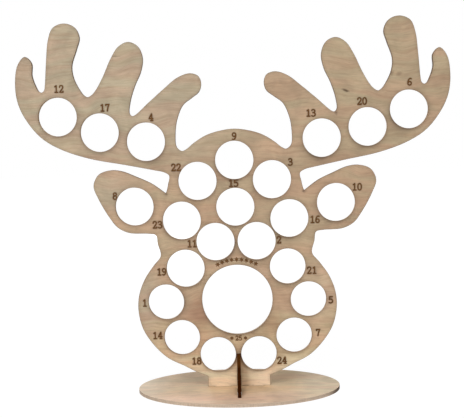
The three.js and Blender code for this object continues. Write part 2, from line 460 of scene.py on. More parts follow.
def smooth_line(points, steps):
    """A centripetal Catmull-Rom line through points, each span cut into steps."""
    points = [Vector(p) for p in points]
    ends = [2 * points[0] - points[1], *points, 2 * points[-1] - points[-2]]
    line = [points[0]]
    for before, start, finish, after in zip(ends, ends[1:], ends[2:], ends[3:]):
        spans = ((before, start), (start, finish), (finish, after))
        first, middle, last = (max((b - a).length, TINY) ** 0.5 for a, b in spans)
        chord = (finish - start) / middle
        leave = ((start - before) / first - (finish - before) / (first + middle) + chord) * middle
        arrive = (chord - (after - start) / (middle + last) + (after - finish) / last) * middle
        for step in range(1, steps + 1):
            t = step / steps
            line.append(
                start + leave * t + (3 * (finish - start) - 2 * leave - arrive) * t * t
                + (2 * (start - finish) + leave + arrive) * t ** 3
            )
    return line


def unit(angle):
    return Vector((math.cos(angle), math.sin(angle)))


def ring(middle, radius, steps):
    """Points round a circle, anticlockwise."""
    return [middle + unit(2 * math.pi * i / steps) * radius for i in range(steps)]


def slot_shape(low, high):
    """The corners of a straight slot, anticlockwise."""
    return [Vector(p) for p in (low, (high[0], low[1]), high, (low[0], high[1]))]


def mirrored(points):
    """Points turned over from right to left."""
    return [Vector((-x, y)) for x, y in points]


def pairs(loop):
    """Each point or corner of a closed line with the next."""
    return zip(loop, loop[1:] + loop[:1])


def staggered(rows, columns, step):
    """Points of a grid whose every second row is moved sideways by half a step."""
    return [Vector((column + 0.5 * (row % 2), row)) * step for row in rows for column in columns]


def point_tree(points):
    """A tree that finds the nearest of some points in the plane."""
    tree = KDTree(len(points))
    for i, point in enumerate(points):
        tree.insert((*point, 0), i)
    tree.balance()
    return tree


def stroke_shape(points, width):
    """The outline of an open stroke with round ends."""
    heads = [(b - a).normalized() for a, b in zip(points, points[1:])]
    sides = []
    for i in range(len(points)):
        head = (heads[max(i - 1, 0)] + heads[min(i, len(heads) - 1)]).normalized()
        sides.append(Vector((-head.y, head.x)) * width / 2)
    right = [p - s for p, s in zip(points, sides)]
    left = [p + s for p, s in zip(points, sides)]

    def cap(middle, start):
        turns = [Matrix.Rotation(math.pi * k / CAP_STEPS, 2) for k in range(1, CAP_STEPS)]
        return [middle + turn @ start for turn in turns]

    return right + cap(points[-1], -sides[-1]) + left[::-1] + cap(points[0], sides[0])


def number_lines(number, middle, height):
    """The centre lines of a number's strokes, set round its middle."""
    text = str(number)
    whole = (DIGIT_PITCH_SHARE * (len(text) - 1) + DIGIT_WIDTH_SHARE) * height
    lines = []
    for place, digit in enumerate(text):
        corner = middle + Vector((place * DIGIT_PITCH_SHARE * height - whole / 2, -height / 2))
        for stroke in DIGITS[digit]:
            curved = len(stroke) > 2
            line = smooth_line(stroke, STROKE_STEPS) if curved else [Vector(p) for p in stroke]
            lines.append([corner + p * height for p in line])
    return lines


def star_lines(middle, size, angle):
    """Three crossed strokes make a six-pointed star."""
    arms = [unit(angle + math.pi * k / 3) * size / 2 for k in range(3)]
    return [[middle - arm, middle + arm] for arm in arms]


def mitre(before, here, after):
    """A corner's sideways direction, to the left of the way, long enough for both of its sides."""
    back, ahead = (here - before).normalized(), (after - here).normalized()
    side = Vector((-ahead.y, ahead.x))
    middle = Vector((-back.y - ahead.y, back.x + ahead.x))
    middle = middle.normalized() if middle.length > TINY else side
    return middle / max(middle.dot(side), MITRE_LIMIT)


def mitres(loop):
    """The sideways direction at each corner of a closed line."""
    return [mitre(loop[i - 1], point, loop[(i + 1) % len(loop)]) for i, point in enumerate(loop)]


# A cut sheet: outline, holes and engraved marks made into one closed mesh

# A sheet's materials by their place in the list: faces, outer edges, walls of holes and engraving
FACE, EDGE, HOLE, MARK = 0, 1, 2, 3

# The collar round a hole that is never engraved, how far the stains reach, the least angle of a sharp
# edge, and the gaps below which two points touch and are made one
COLLAR = 0.28 * MM
REACH = 8 * MM
SHARP_ANGLE = math.radians(24)
TOUCH = 0.01 * MM
ONE_POINT = 1e-8

# The rows of points beside a cut: how far in they lie, their least step, the share of the distance
# that is their step, and the share that each keeps from every other cut
ROW_GAPS = (0.8 * MM, 1.7 * MM, 3 * MM, 5 * MM)
LEAST_STEP = 0.9 * MM
STEP_SHARE = 0.9
CLEAR_SHARE = 0.93

# The coarse grid between the cuts, and the share of the last row's distance that it keeps from them
GRID = 5 * MM
GRID_SHARE = 1.2


class Sheet:
    """A flat piece of plywood, drawn in its own plane and stood up by its three directions."""

    def __init__(self, outline, holes, marks, thickness, corner, depth, across, up, origin, extra=()):
        self.outline, self.holes, self.marks = outline, holes, marks
        self.thickness, self.corner, self.depth = thickness, corner, depth
        self.across, self.up, self.origin = Vector(across), Vector(up), Vector(origin)
        self.out = self.across.cross(self.up)
        self.extra = extra
        self.cuts = [outline] + [loop[::-1] for loop in holes]
        self.cut_tree = point_tree([point for loop in self.cuts for point in loop])
        self.hole_tree = point_tree([point for loop in holes for point in loop])
        self.sides = [side for loop in self.cuts for side in mitres(loop)]
        self.beside = []
        for loop in self.cuts:
            self.beside += [(loop[i - 1], loop[(i + 1) % len(loop)]) for i in range(len(loop))]

    def place(self, point, level):
        return self.origin + self.across * point[0] + self.up * point[1] + self.out * level

    def loose_points(self):
        """Points inside the sheet that carry its stains: rows beside each cut, and a coarse grid."""
        taken = []
        for gap in ROW_GAPS:
            for loop in self.cuts:
                apart, last = max(gap * STEP_SHARE, LEAST_STEP), None
                for point, side in zip(loop, mitres(loop)):
                    spot = point + side.normalized() * gap
                    if last is not None and (spot - last).length < apart:
                        continue
                    if self.cut_tree.find((*spot, 0))[2] > gap * CLEAR_SHARE:
                        taken.append(spot)
                        last = spot
        low = Vector([min(p[axis] for p in self.outline) for axis in (0, 1)])
        high = Vector([max(p[axis] for p in self.outline) for axis in (0, 1)])
        columns, rows = (range(int(span / GRID) + 1) for span in high - low)
        for step in staggered(rows, columns, GRID):
            spot = low + step
            near, index, gap = self.cut_tree.find((*spot, 0))
            if gap > ROW_GAPS[-1] * GRID_SHARE and (spot - near.xy).dot(self.sides[index]) > 0:
                taken.append(spot)
        return taken + list(self.extra)

    def triangles(self):
        """The sheet's plane cut into triangles, each known as plain wood or engraved."""
        points, loops = [], []
        collars = [[p + s * COLLAR for p, s in zip(loop, mitres(loop))] for loop in self.cuts[1:]]
        for loop in [self.outline, *self.holes, *collars, *self.marks]:
            loops.append(list(range(len(points), len(points) + len(loop))))
            area = sum(a.cross(b) for a, b in pairs(loop))
            points += loop if area > 0 else loop[::-1]
        points += self.loose_points()
        cut = delaunay_2d_cdt([p.copy() for p in points], [], loops, 0, ONE_POINT, True)
        spots, faces, sources = cut[0], cut[2], cut[5]
        first_collar = 1 + len(self.holes)
        first_mark = first_collar + len(collars)
        plain, engraved = [], []
        for face, source in zip(faces, sources):
            if 0 not in source or any(1 <= s < first_collar for s in source):
                continue
            in_collar = any(first_collar <= s < first_mark for s in source)
            in_mark = any(s >= first_mark for s in source)
            (engraved if in_mark and not in_collar else plain).append(tuple(face))
        return spots, plain, engraved

    def build(self, name, stains):
        """The closed mesh.

        stains is a dict of attribute name and function of a point in the plane and of its side,
        which is true on the front.
        """
        spots, plain, engraved = self.triangles()
        vertices, faces, kinds, maps, plane_of = [], [], [], [], []

        def vertex(spot, level):
            vertices.append(self.place(spot, level))
            plane_of.append((spot, level > 0))
            return len(vertices) - 1

        def face(corners, kind, uv):
            faces.append(corners)
            kinds.append(kind)
            maps.append(uv)

        def flat(corners, level, kind):
            face([level[i] for i in corners], kind, [tuple(drawn[i]) for i in corners])

        sides = dict.fromkeys(side for tri in plain + engraved for side in pairs(tri))
        rim = {a: b for a, b in sides if (b, a) not in sides}
        behind = {b: a for a, b in rim.items()}
        half = self.thickness / 2
        in_plain = {i for tri in plain for i in tri}
        in_engraved = {i for tri in engraved for i in tri}
        drawn = {i: spots[i] for i in in_plain | in_engraved}
        for i, ahead in rim.items():
            drawn[i] = spots[i] + mitre(spots[behind[i]], spots[i], spots[ahead]) * self.corner
        front = {i: vertex(drawn[i], half) for i in sorted(in_plain)}
        floor = {i: vertex(drawn[i], half - self.depth) for i in sorted(in_engraved)}
        back = {i: vertex(drawn[i], -half) for i in sorted(drawn)}
        for tri in plain:
            flat(tri, front, FACE)
        for tri in engraved:
            flat(tri, floor, MARK)
        for tri in plain + engraved:
            flat(tri[::-1], back, FACE)

        # Walls of the engraved marks
        in_mark = {side for tri in engraved for side in pairs(tri)}
        for a, b in sorted(in_mark):
            if (b, a) not in in_mark and (b, a) in sides:
                face([front[a], front[b], floor[b], floor[a]], MARK, [tuple(drawn[i]) for i in (a, b, b, a)])

        # Cut edges, with a fine worn corner on either side
        wall_front = {i: vertex(spots[i], half - self.corner) for i in sorted(rim)}
        wall_back = {i: vertex(spots[i], self.corner - half) for i in sorted(rim)}
        levels = [
            (front, 0), (wall_front, self.corner), (wall_back, self.thickness - self.corner),
            (back, self.thickness),
        ]
        rest = set(rim)
        while rest:
            run, i = 0.0, min(rest)
            while i in rest:
                rest.discard(i)
                j = rim[i]
                further = run + (spots[j] - spots[i]).length
                kind = HOLE if self.beside_hole(spots[i]) else EDGE
                for (upper, top), (lower, bottom) in zip(levels, levels[1:]):
                    corners = [(further, top), (run, top), (run, bottom), (further, bottom)]
                    face([upper[j], upper[i], lower[i], lower[j]], kind, corners)
                run, i = further, j

        mesh = bpy.data.meshes.new(name)
        mesh.from_pydata(vertices, [], faces)
        mesh.polygons.foreach_set("material_index", kinds)
        mesh.polygons.foreach_set("use_smooth", [True] * len(faces))
        layer = mesh.uv_layers.new(name="Sheet")
        layer.data.foreach_set("uv", [v for uv in maps for pair in uv for v in pair])
        stains = {"back": lambda spot, in_front: float(not in_front), **stains}
        for stain, amount in stains.items():
            data = mesh.attributes.new(stain, "FLOAT", "POINT").data
            data.foreach_set("value", [amount(spot, in_front) for spot, in_front in plane_of])
        mesh.update()
        mesh.set_sharp_from_angle(angle=SHARP_ANGLE)
        if mesh.validate(verbose=False):
            raise RuntimeError(f"the mesh of {name} had faults")
        return mesh

    def beside_hole(self, spot):
        return bool(self.holes) and self.hole_tree.find((*spot, 0))[2] < TOUCH

    def gap_to_edge(self, spot, in_front=True):
        """Distance from the nearest cut line, up to the stains' reach, alike on both sides."""
        near, index, gap = self.cut_tree.find((*spot, 0))
        away = spot - near.xy
        for other in self.beside[index]:
            along = other - near.xy
            t = min(max(away.dot(along) / along.length_squared, 0), 1)
            gap = min(gap, (away - along * t).length)
        return min(gap, REACH)


# Materials


def add(tree, kind, values=None, **settings):
    """A node with its settings and the values of its input sockets."""
    node = tree.nodes.new(kind)
    for key, value in settings.items():
        setattr(node, key, value)
    for key, value in (values or {}).items():
        socket = node.inputs[key]
        if isinstance(value, bpy.types.NodeSocket):
            tree.links.new(value, socket)
        else:
            socket.default_value = (*value, 1.0) if socket.type == "RGBA" else value
    return node


def math_node(tree, operation, one, two=None, three=None, clamp=False):
    values = {i: v for i, v in enumerate((one, two, three)) if v is not None}
    return add(tree, "ShaderNodeMath", values, operation=operation, use_clamp=clamp).outputs[0]


def plus(tree, one, two, clamp=False):
    return math_node(tree, "ADD", one, two, clamp=clamp)


def less(tree, one, two):
    return math_node(tree, "SUBTRACT", one, two)


def times(tree, one, two, clamp=False):
    return math_node(tree, "MULTIPLY", one, two, clamp=clamp)


def scaled(tree, value, factor, shift):
    """A value times a factor, and then moved by a shift."""
    return math_node(tree, "MULTIPLY_ADD", value, factor, shift)


def vector_node(tree, operation, one, two):
    return add(tree, "ShaderNodeVectorMath", {0: one, 1: two}, operation=operation).outputs[0]


def vector_of(tree, parts):
    """A vector with the given parts, each under its number."""
    return add(tree, "ShaderNodeCombineXYZ", parts).outputs[0]


def parts_of(tree, vector):
    return add(tree, "ShaderNodeSeparateXYZ", {0: vector}).outputs


def length_of(tree, vector):
    return add(tree, "ShaderNodeVectorMath", {0: vector}, operation="LENGTH").outputs["Value"]


def place_on_object(tree):
    """The place in the object's own space, which is the frame's."""
    return add(tree, "ShaderNodeTexCoord").outputs["Object"]


def noise(tree, vector, size, detail=2.0, roughness=0.5, distortion=0.0):
    """Noise with a number of cells to the metre along each axis."""
    values = {
        "Vector": vector_node(tree, "MULTIPLY", vector, size), "Scale": 1.0,
        "Detail": detail, "Roughness": roughness, "Distortion": distortion,
    }
    return add(tree, "ShaderNodeTexNoise", values).outputs[0]


def stretched(tree, value, low, high, to_low=0.0, to_high=1.0, soft=True):
    """A value that runs from to_low to to_high while the given one runs from low to high."""
    kind = "SMOOTHSTEP" if soft else "LINEAR"
    values = {"Value": value, "From Min": low, "From Max": high, "To Min": to_low, "To Max": to_high}
    return add(tree, "ShaderNodeMapRange", values, interpolation_type=kind).outputs[0]


def blended(tree, amount, one, two, mode="MIX"):
    """One colour covered by another, by an amount from 0 to 1."""
    values = {0: amount, 6: one, 7: two}
    node = add(tree, "ShaderNodeMix", values, data_type="RGBA", blend_type=mode, clamp_factor=True)
    return node.outputs[2]


def toned(tree, color, tone):
    """A colour made lighter or darker by a plain amount."""
    return blended(tree, 1.0, color, vector_of(tree, {0: tone, 1: tone, 2: tone}), "MULTIPLY")


def shade(color, factor):
    """A plain colour made lighter or darker."""
    return [min(channel * factor, 1.0) for channel in color]


def emptied(holder):
    """The node tree of a material or world, with nothing in it."""
    holder.use_nodes = True
    holder.node_tree.nodes.clear()
    return holder.node_tree


def grouped(tree, name, fill, inputs):
    """Places a shader group with values for its inputs, and gives its outputs.

    The group is built once. fill makes its nodes and gives the value of each output by name.
    """
    group = bpy.data.node_groups.get(name)
    if not group:
        group = bpy.data.node_groups.new(name, "ShaderNodeTree")
        for title in inputs:
            kind = "NodeSocketVector" if title in ("Vector", "Sheet") else "NodeSocketFloat"
            group.interface.new_socket(title, in_out="INPUT", socket_type=kind)
        values = fill(group, group.nodes.new("NodeGroupInput").outputs)
        for title in values:
            group.interface.new_socket(title, in_out="OUTPUT", socket_type="NodeSocketFloat")
        add(group, "NodeGroupOutput", values)
    return add(tree, "ShaderNodeGroup", inputs, node_tree=group).outputs


def grain(tree, given):
    """Grain of a rotary-cut veneer. The vector's first part runs along the grain."""
    place = given["Vector"]
    ripple = noise(tree, place, (38, 60, 30), 1.0)
    lift = scaled(tree, noise(tree, place, (9, 60, 14)), 0.034, times(tree, ripple, 0.008))
    wavy = vector_node(tree, "ADD", place, vector_of(tree, {2: times(tree, lift, given["Waviness"])}))
    bands = noise(tree, wavy, (13, 90, 85), 2.0, 0.55)
    streaks = noise(tree, wavy, (26, 90, 420), 2.0, 0.55)
    fibres = noise(tree, wavy, (90, 90, 2600), 2.0, 0.6)
    cells = {"Vector": vector_node(tree, "MULTIPLY", wavy, (210, 90, 1900)), "Scale": 1.0, "Randomness": 1.0}
    cells = add(tree, "ShaderNodeTexVoronoi", cells, feature="F1").outputs["Distance"]
    pores = stretched(tree, cells, 0.24, 0.05)
    return {
        "Bands": stretched(tree, bands, 0.36, 0.64),
        "Streaks": stretched(tree, streaks, 0.44, 0.7),
        "Figure": noise(tree, wavy, (46, 90, 60), 3.0, 0.55, 0.4),
        "Fibres": fibres, "Pores": pores, "Height": less(tree, fibres, times(tree, pores, 0.6)),
    }


def laser_cut(tree, given):
    """A laser-cut edge: glue lines between three plies, and fine marks of the beam across them."""
    flat = given["Sheet"]
    wobble = scaled(tree, noise(tree, flat, (160, 0, 0), 1.0), 0.16 * MM, -0.08 * MM)
    depth = plus(tree, parts_of(tree, flat)[1], wobble)
    level = math_node(tree, "DIVIDE", depth, given["Thickness"])
    from_middle = math_node(tree, "ABSOLUTE", less(tree, level, 0.5))
    from_glue = math_node(tree, "ABSOLUTE", less(tree, from_middle, 0.19))
    glue = stretched(tree, from_glue, 0.03, 0.008)
    beam = noise(tree, flat, (2300, 130, 0), 2.0, 0.55)
    char = noise(tree, flat, (70, 500, 0), 3.0, 0.6)
    return {
        "Plies": stretched(tree, from_middle, 0.21, 0.17), "Glue": glue, "Beam": beam,
        "Char": stretched(tree, char, 0.3, 0.7), "Height": less(tree, beam, times(tree, glue, 0.5)),
    }


def new_material(name, gloss):
    """A material with its shader and output, ready for nodes."""
    material = bpy.data.materials.new(name)
    tree = emptied(material)
    shader = add(tree, "ShaderNodeBsdfPrincipled", {"Specular IOR Level": gloss})
    add(tree, "ShaderNodeOutputMaterial", {"Surface": shader.outputs[0]})
    return material, tree, shader


def finish_material(tree, shader, color, roughness, height, distance, strength):
    """Joins a material's colour, roughness and bump to its shader."""
    bump = add(tree, "ShaderNodeBump", {"Height": height, "Distance": distance, "Strength": strength})
    for title, value in (("Base Color", color), ("Roughness", roughness), ("Normal", bump.outputs[0])):
        tree.links.new(value, shader.inputs[title])


def attribute(tree, name):
    """One of the stains that a sheet's points carry."""
    return add(tree, "ShaderNodeAttribute", attribute_name=name, attribute_type="GEOMETRY").outputs["Fac"]


def drifted(tree, place, value, drift):
    """A place or distance moved to and fro as a value goes from 0 to 1, for an uneven border."""
    return plus(tree, place, scaled(tree, value, drift, -drift / 2))


def head_wood(tree, parts, bands, head):
    """The head's wood: pale at the neck, brownish on the face, greyish at the antlers."""
    height = drifted(tree, parts[2], bands, HEAD_DRIFT)
    sideways = stretched(tree, parts[0], *LEFT_TO_RIGHT)
    antlers = blended(tree, sideways, head.left_antler, head.right_antler)
    wood = blended(tree, stretched(tree, height, *NECK_TO_JAW), head.neck_wood, head.jaw_wood)
    wood = blended(tree, stretched(tree, height, *JAW_TO_FACE), wood, head.face_wood)
    return blended(tree, stretched(tree, height, *FACE_TO_ANTLERS), wood, antlers)


def base_wood(tree, parts, bands, base):
    """The base's wood: pinkish in front, greenish behind, paler at both ends."""
    backward = stretched(tree, drifted(tree, parts[1], bands, BASE_DRIFT), *FRONT_TO_BACK)
    wood = blended(tree, backward, base.front_wood, base.back_wood)
    outward = math_node(tree, "ABSOLUTE", plus(tree, parts[0], MIDDLE_SHIFT))
    return blended(tree, stretched(tree, outward, *MIDDLE_TO_ENDS), wood, base.end_wood)


def plain_wood(tree, parts, bands, brace):
    """The brace's wood."""
    return blended(tree, bands, brace.wood, shade(brace.wood, 0.93))


def gap_to_middle(tree, place, ragged, middle, size, slope=0.0):
    """How far a place is from the middle of a knot or cloud: 1 at its rim, which is ragged."""
    middle = (middle[0] * MM, 0.0, middle[1] * MM)
    parts = parts_of(tree, vector_node(tree, "SUBTRACT", place, middle))
    across = times(tree, parts[0], 1 / (size[0] * MM))
    rise = times(tree, scaled(tree, parts[0], -slope, parts[2]), 1 / (size[1] * MM))
    return drifted(tree, length_of(tree, vector_of(tree, {0: across, 2: rise})), ragged, RAGGED_RIM)


def face_material(name, sheet, wood, piece, axes=(0, 1, 2), waviness=1.0, marked=1.0, tinted=1.0,
                  seed=0.0, knots=(), clouds=()):
    """Bare veneer with grain, the smoke stain and painted shadow beside the cuts, and each cut's burnt rim.

    wood is the function that gives the wood's colour, from the settings in piece. axes says which
    parts of a place run along the grain, through the sheet and across the grain. marked is how
    strongly the darker lines of the grain show, and tinted how strongly its bands do. seed says
    where in the grain the sheet was cut. knots and clouds are the marks of the front.
    """
    material, tree, shader = new_material(name, 0.3)
    place = place_on_object(tree)
    parts = parts_of(tree, place)
    behind = attribute(tree, "back")
    ahead = less(tree, 1.0, behind)
    shift = vector_of(tree, {
        0: scaled(tree, behind, BACK_SHIFT[0], seed), 2: scaled(tree, behind, BACK_SHIFT[1], seed * 0.37),
    })
    along = vector_of(tree, {i: parts[axis] for i, axis in enumerate(axes)})
    values = {"Vector": vector_node(tree, "ADD", along, shift), "Waviness": waviness}
    veneer = grouped(tree, "veneer_grain", grain, values)

    # The wood with its bands, streaks and pores
    tint = blended(tree, veneer["Bands"], COOL_TINT, WARM_TINT)
    color = blended(tree, tinted, wood(tree, parts, veneer["Bands"], piece), tint, "MULTIPLY")
    color = blended(tree, times(tree, veneer["Streaks"], STREAK_STRENGTH * marked), color, sheet.streak)
    figure = stretched(tree, veneer["Figure"], 0.25, 0.75, 0.87, 1.13)
    fibres = stretched(tree, veneer["Fibres"], 0.2, 0.8, 0.88, 1.12)
    color = toned(tree, color, times(tree, figure, fibres))
    pores = times(tree, veneer["Pores"], PORE_STRENGTH * marked)
    color = blended(tree, pores, color, shade(sheet.streak, 0.75))

    # The knots, and the broad places after them
    ragged = noise(tree, place, (400, 400, 400)) if knots else None
    for middle, size, slope, depth in knots:
        gap = gap_to_middle(tree, place, ragged, middle, size, slope)
        mark = times(tree, stretched(tree, gap, 1.0, 0.15, 0.0, depth), ahead)
        color = blended(tree, mark, color, shade(sheet.streak, 0.35))
    ragged = noise(tree, place, (45, 60, 130)) if clouds else None
    for middle, size, tint in clouds:
        gap = gap_to_middle(tree, place, ragged, middle, size)
        cover = times(tree, stretched(tree, gap, 1.0, 0.0), ahead)
        color = blended(tree, cover, color, tint, "MULTIPLY")

    # What the laser leaves, the painted shadow beside the head's holes, and the dark band over the brace
    patches = stretched(tree, noise(tree, place, (90, 90, 90)), 0.25, 0.75, 0.75, 1.15)
    # The smoke stain, which on the head also holds a painted shadow beside each hole
    color = blended(tree, times(tree, attribute(tree, "soot"), patches, clamp=True), color, sheet.soot)
    gap = attribute(tree, "gap")
    toast = stretched(tree, gap, *TOAST_WIDTHS, 0.0, TOAST_STRENGTH)
    rim = math_node(tree, "MAXIMUM", stretched(tree, gap, RIM_WIDTH, 0.0, 0.0, RIM_STRENGTH), toast)
    color = blended(tree, rim, color, sheet.rim)
    # The dark band on the web over the brace, and its runs down the rims
    color = blended(tree, attribute(tree, "scorch"), color, sheet.scorched)
    roughness = stretched(tree, veneer["Fibres"], 0.2, 0.8, 0.56, 0.7)
    finish_material(tree, shader, color, roughness, veneer["Height"], 0.06 * MM, 0.5)
    return material


def edge_material(name, light, dark, thickness, burn=1.0, turn=None, gloss=0.2):
    """A cut edge, from lightly toasted to charred. turn gives the axis and the places where it darkens."""
    material, tree, shader = new_material(name, gloss)
    flat = add(tree, "ShaderNodeUVMap", uv_map="Sheet").outputs[0]
    marks = grouped(tree, "laser_cut_edge", laser_cut, {"Sheet": flat, "Thickness": thickness})
    burnt = times(tree, marks["Char"], burn)
    if turn:
        axis, start, finish = turn
        further = stretched(tree, parts_of(tree, place_on_object(tree))[axis], start, finish, 0.0, 0.85)
        burnt = plus(tree, burnt, further, clamp=True)
    color = blended(tree, burnt, light, dark)
    color = blended(tree, times(tree, marks["Plies"], 0.3 * burn), color, shade(dark, 0.8))
    color = blended(tree, times(tree, marks["Glue"], 0.5 * burn), color, shade(dark, 0.5))
    color = toned(tree, color, stretched(tree, marks["Beam"], 0.25, 0.75, 0.8, 1.14))
    roughness = stretched(tree, marks["Beam"], 0.2, 0.8, 0.6, 0.82)
    finish_material(tree, shader, color, roughness, marks["Height"], 0.05 * MM, 0.6)
    return material


def mark_material(name, ink):
    """The burnt floor and walls of an engraved line, with the fine rows that the laser leaves."""
    material, tree, shader = new_material(name, 0.1)
    place = place_on_object(tree)
    rows = noise(tree, place, (300, 300, 5200))
    blotch = noise(tree, place, (520, 520, 520))
    color = blended(tree, stretched(tree, blotch, 0.3, 0.7), shade(ink, 0.75), shade(ink, 1.2))
    color = blended(tree, stretched(tree, rows, 0.4, 0.7, 0.0, 0.35), color, shade(ink, 1.6))
    roughness = stretched(tree, rows, 0.3, 0.7, 0.75, 0.95)
    finish_material(tree, shader, color, roughness, rows, 0.04 * MM, 0.5)
    return material


# Where the stains lie


def fade(value, start, finish):
    """One before start, nothing after finish, and smooth between."""
    t = min(max((value - start) / (finish - start), 0), 1)
    return 1 - t * t * (3 - 2 * t)


def clear_of_holes(spot, holes, margin):
    return all((spot - middle).length > size / 2 + margin for middle, size, _ in holes)


def burn_points(holes):
    """A fine grid over the dark web, where the brace meets the head."""
    middle = Vector((0, WEB_DARK_HEIGHT))
    spots = [middle + step for step in staggered(WEB_DARK_ROWS, WEB_DARK_COLUMNS, WEB_DARK_GRID)]
    return [spot for spot in spots if clear_of_holes(spot, holes, WEB_DARK_MARGIN)]


def unburnt(spot, in_front):
    return 0.0


def faint_soot(gap_to_cut, strength, width):
    """A stain that fades away from the cuts, alike on both sides."""
    return lambda spot, in_front: strength * math.exp(-gap_to_cut(spot) / width)


class Smoke:
    """The laser's smoke on the head's face, by holes, numbers and notches, and painted shadows by the holes.
    """

    def __init__(self, lines, holes, head):
        self.holes = holes
        self.pitch = head.wide_hole + head.hole_web
        self.width = head.stroke
        self.lines = [line for line, width in lines if width == head.stroke]
        spots = []
        for line in self.lines:
            for start, finish in zip(line, line[1:]):
                pieces = max(int((finish - start).length / INK_STEP), 1)
                spots += [start.lerp(finish, k / pieces) for k in range(pieces + 1)]
        self.ink = point_tree(spots)

    def halo_points(self):
        """A row of points round every number beside a hole, so that its smoke ends close by."""
        taken = []
        reach = self.width / 2 + HALO
        for line in self.lines:
            for spot in stroke_shape(line, 2 * reach):
                apart = min(((spot - other).length for other in taken[-HALO_MEMORY:]), default=1)
                clear = self.ink.find((*spot, 0))[2] > reach * CLEAR_SHARE
                if apart > HALO_STEP and clear and clear_of_holes(spot, self.holes, HALO_MARGIN):
                    taken.append(spot)
        return taken

    def amount(self, spot, in_front):
        """How much of the wood the smoke and painted shadow cover at a place. The numbers' smoke stays in
        front.
        """
        past_ink = self.ink.find((*spot, 0))[2] - self.width / 2
        total = NUMBER_SMOKE * max(1 - max(past_ink, 0) / HALO, 0) ** NUMBER_FALL if in_front else 0.0
        for middle, size, number in self.holes:
            away = spot - middle
            gap = max(away.length - size / 2, 0.0)
            if gap > REACH:
                continue
            # The painted shadow lies on one side of each hole, and the smoke goes all round it
            degrees, strength = HOLE_SHADOWS[number]
            aim = max(away.normalized().dot(unit(math.radians(degrees))), 0.0)
            total += (HOLE_SMOKE + strength * aim ** SIDE_FALL) * math.exp(-gap / SMOKE_AND_SHADOW_WIDTH)
        for middle, width, strength in NOTCH_BURNS:
            total += strength * math.exp(-(((spot - Vector(middle) * self.pitch).length / width) ** 2))
        return min(total, MOST_SMOKE_AND_SHADOW)


# Operators


def put_in_scene(name, data):
    thing = bpy.data.objects.new(name, data)
    bpy.context.scene.collection.objects.link(thing)
    return thing


def finish_piece(name, mesh, materials, body, node):
    """Puts a piece in the scene, on its body, in place of its CAD node."""
    for material in materials:
        mesh.materials.append(material)
    piece = put_in_scene(name, mesh)
    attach(piece, body)
    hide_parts(node)


def head_holes(head):
    """Every hole of the head as (middle, diameter, number)."""
    pitch = head.wide_hole + head.hole_web
    holes = []

    def pair(middle, left, right, left_size, right_size):
        holes.append((Vector((-middle[0], middle[1])) * pitch, left_size, left))
        holes.append((Vector(middle) * pitch, right_size, right))

    for middle, left, right in WIDE_PAIRS:
        pair(middle, left, right, head.wide_hole, head.wide_hole)
    for middle, left, right in NARROW_PAIRS:
        pair(middle, left, right, head.narrow_hole, head.narrow_hole)
    pair(*UNEVEN_PAIR, head.wide_hole, head.narrow_hole)
    chin = ((head.narrow_hole + head.chin_web) / 2 / pitch, CHIN_HEIGHT_SHARE)
    pair(chin, *CHIN_NUMBERS, head.narrow_hole, head.narrow_hole)
    for middle, number in MIDDLE_HOLES:
        holes.append((Vector(middle) * pitch, head.wide_hole, number))
    holes.append((Vector((0, TREAT_HEIGHT_SHARE)) * pitch, head.treat_hole, TREAT_NUMBER))
    return holes


def head_lines(head, holes):
    """The centre lines of all the engraved strokes, as (line, width)."""
    pitch = head.wide_hole + head.hole_web
    lines = []
    for middle, _, number in holes:
        small = number == TREAT_NUMBER
        spot = middle + Vector(TREAT_NUMBER_SHARE if small else NUMBER_SHARES[number]) * pitch
        height = head.small_digit_height if small else head.digit_height
        width = head.stroke * STAR_STROKE_SHARE if small else head.stroke
        lines += [(line, width) for line in number_lines(number, spot, height)]
    treat = holes[-1][0]
    stars = []
    for k in range(STAR_COUNT):
        angle = STAR_ARC[0] + (STAR_ARC[1] - STAR_ARC[0]) * k / (STAR_COUNT - 1)
        stars.append((treat + unit(angle) * STAR_RING_SHARE * pitch, head.star_size, angle))
    for side in (-1, 1):
        share = Vector(TREAT_NUMBER_SHARE) + Vector((side * SIDE_STAR_SHARE, 0))
        stars.append((treat + share * pitch, head.star_size * SIDE_STAR_SIZE_SHARE, math.pi / 2))
    width = head.stroke * STAR_STROKE_SHARE
    for spot, size, angle in stars:
        lines += [(line, width) for line in star_lines(spot, size - width, angle)]
    return lines


def tab_foot(half_width, inner, outer, slot_half, slot_top, depth):
    """The foot of an upright piece from right to left: two tabs, and a slot between them if it has one."""
    right = [(half_width, 0), (outer, 0), (outer, -depth), (inner, -depth), (inner, 0)]
    if slot_top:
        right += [(slot_half, 0), (slot_half, slot_top)]
    return [Vector(p) for p in right] + mirrored(right[::-1])


